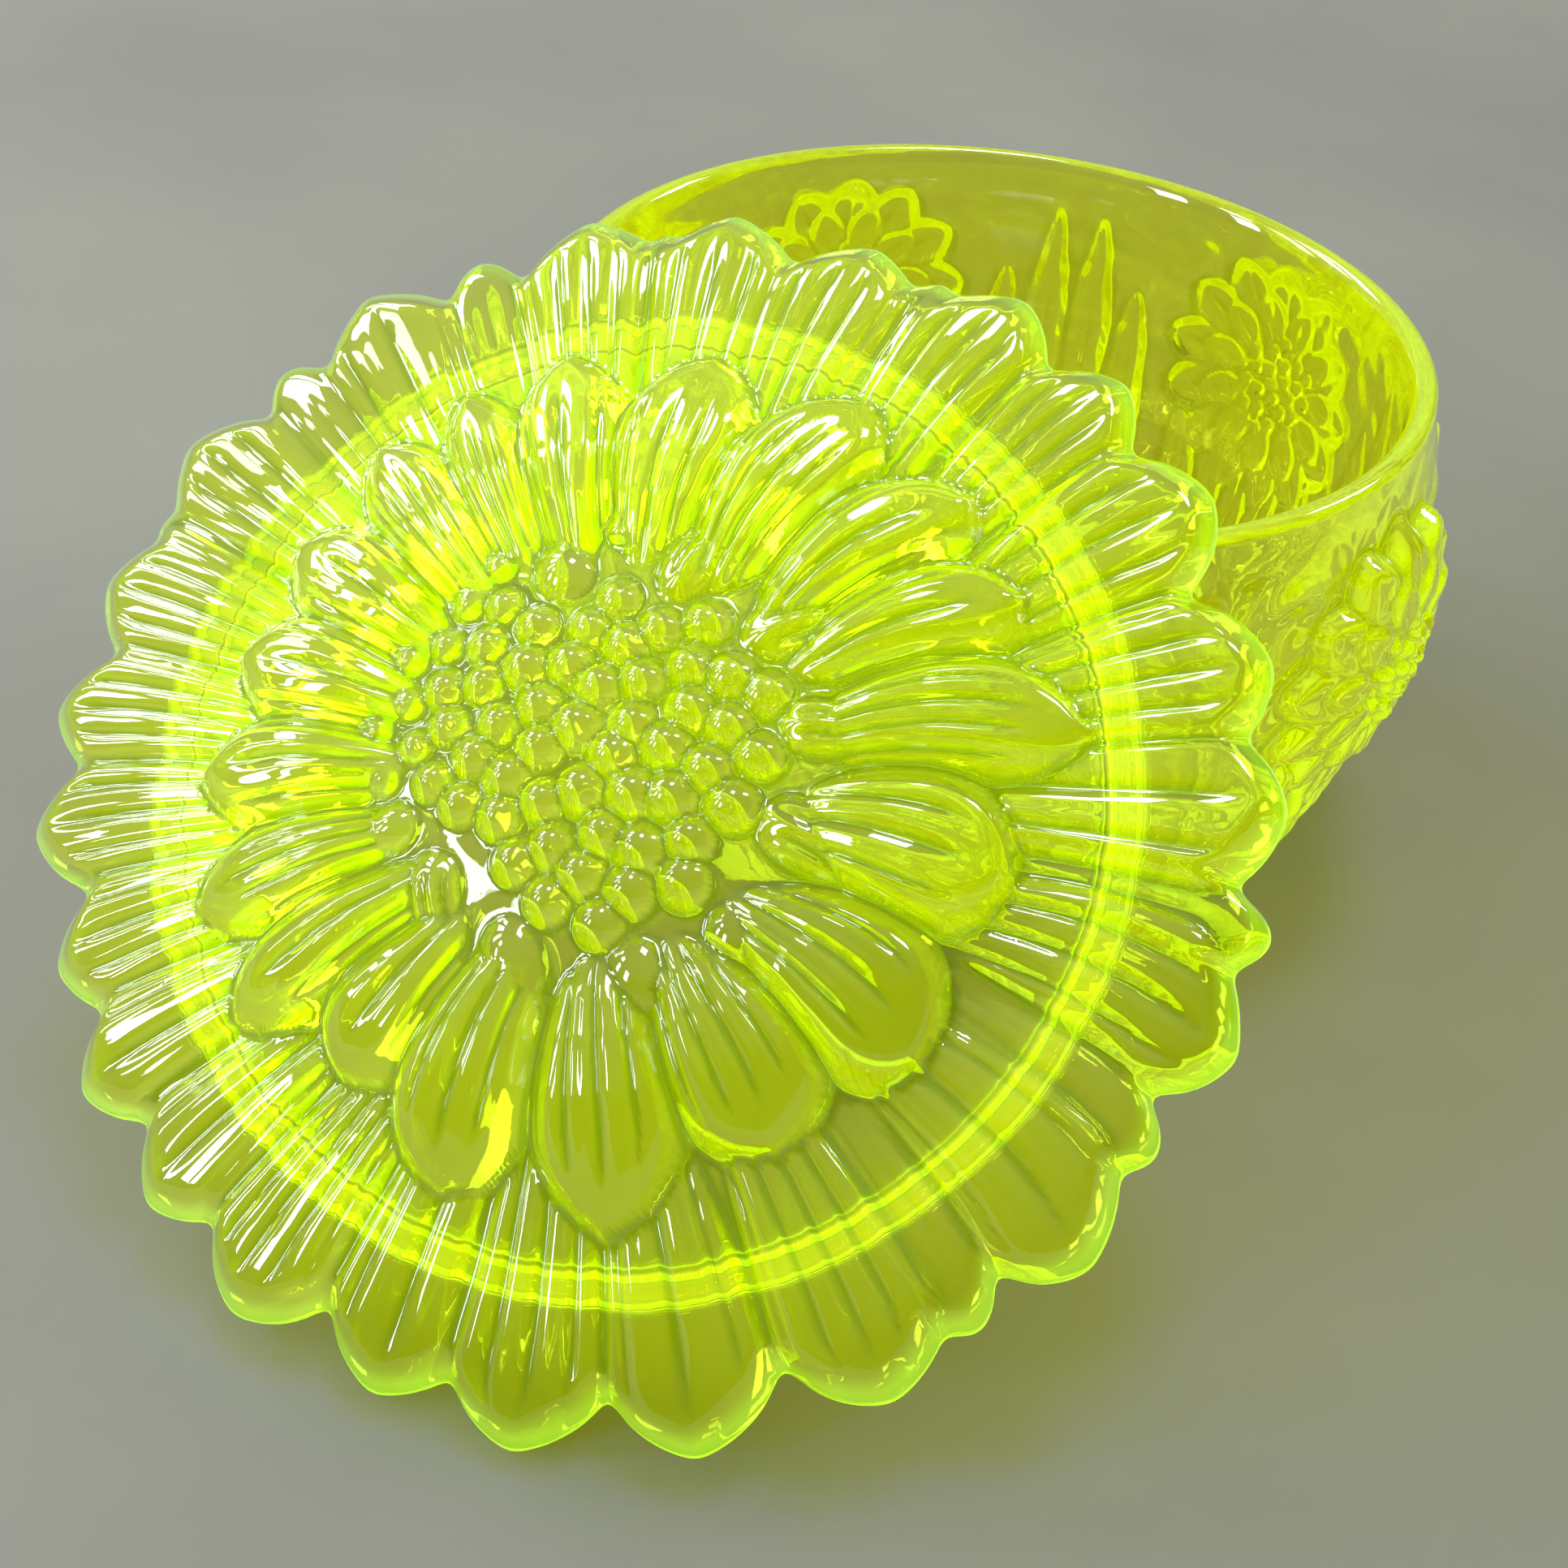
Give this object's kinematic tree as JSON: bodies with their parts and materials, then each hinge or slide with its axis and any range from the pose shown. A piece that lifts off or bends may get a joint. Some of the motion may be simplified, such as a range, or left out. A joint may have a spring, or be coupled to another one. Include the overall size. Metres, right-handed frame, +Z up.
{
  "type": "covered glass dish",
  "caption": "Pressed uranium glass covered dish: a round bowl with flowers in relief round its wall, and a large flower-shaped lid that lies open against its rim.",
  "frame": {"origin": "middle of the bowl's flat foot, on the surface that it stands on", "axes": "+Z up along the bowl's axis, out of its mouth; the lid leans on the rim on the -Y side, with its face towards -Y and up"},
  "size_m": [0.2025, 0.2415, 0.1079],
  "materials": {
    "bowl_glass": "fire-polished clear yellow-green uranium glass, a little deeper yellow where the wall is thick",
    "lid_glass": "fire-polished clear yellow-green uranium glass with bright lime edges"
  },
  "bodies": {
    "bowl": {"bowl": "bowl_glass"},
    "lid": {"lid": "lid_glass"}
  },
  "joints": [
    {"name": "lid_lift", "type": "slide", "parent": "bowl", "child": "lid", "axis": [0, 0, 1], "range_m": [0, 0.1]}
  ]
}
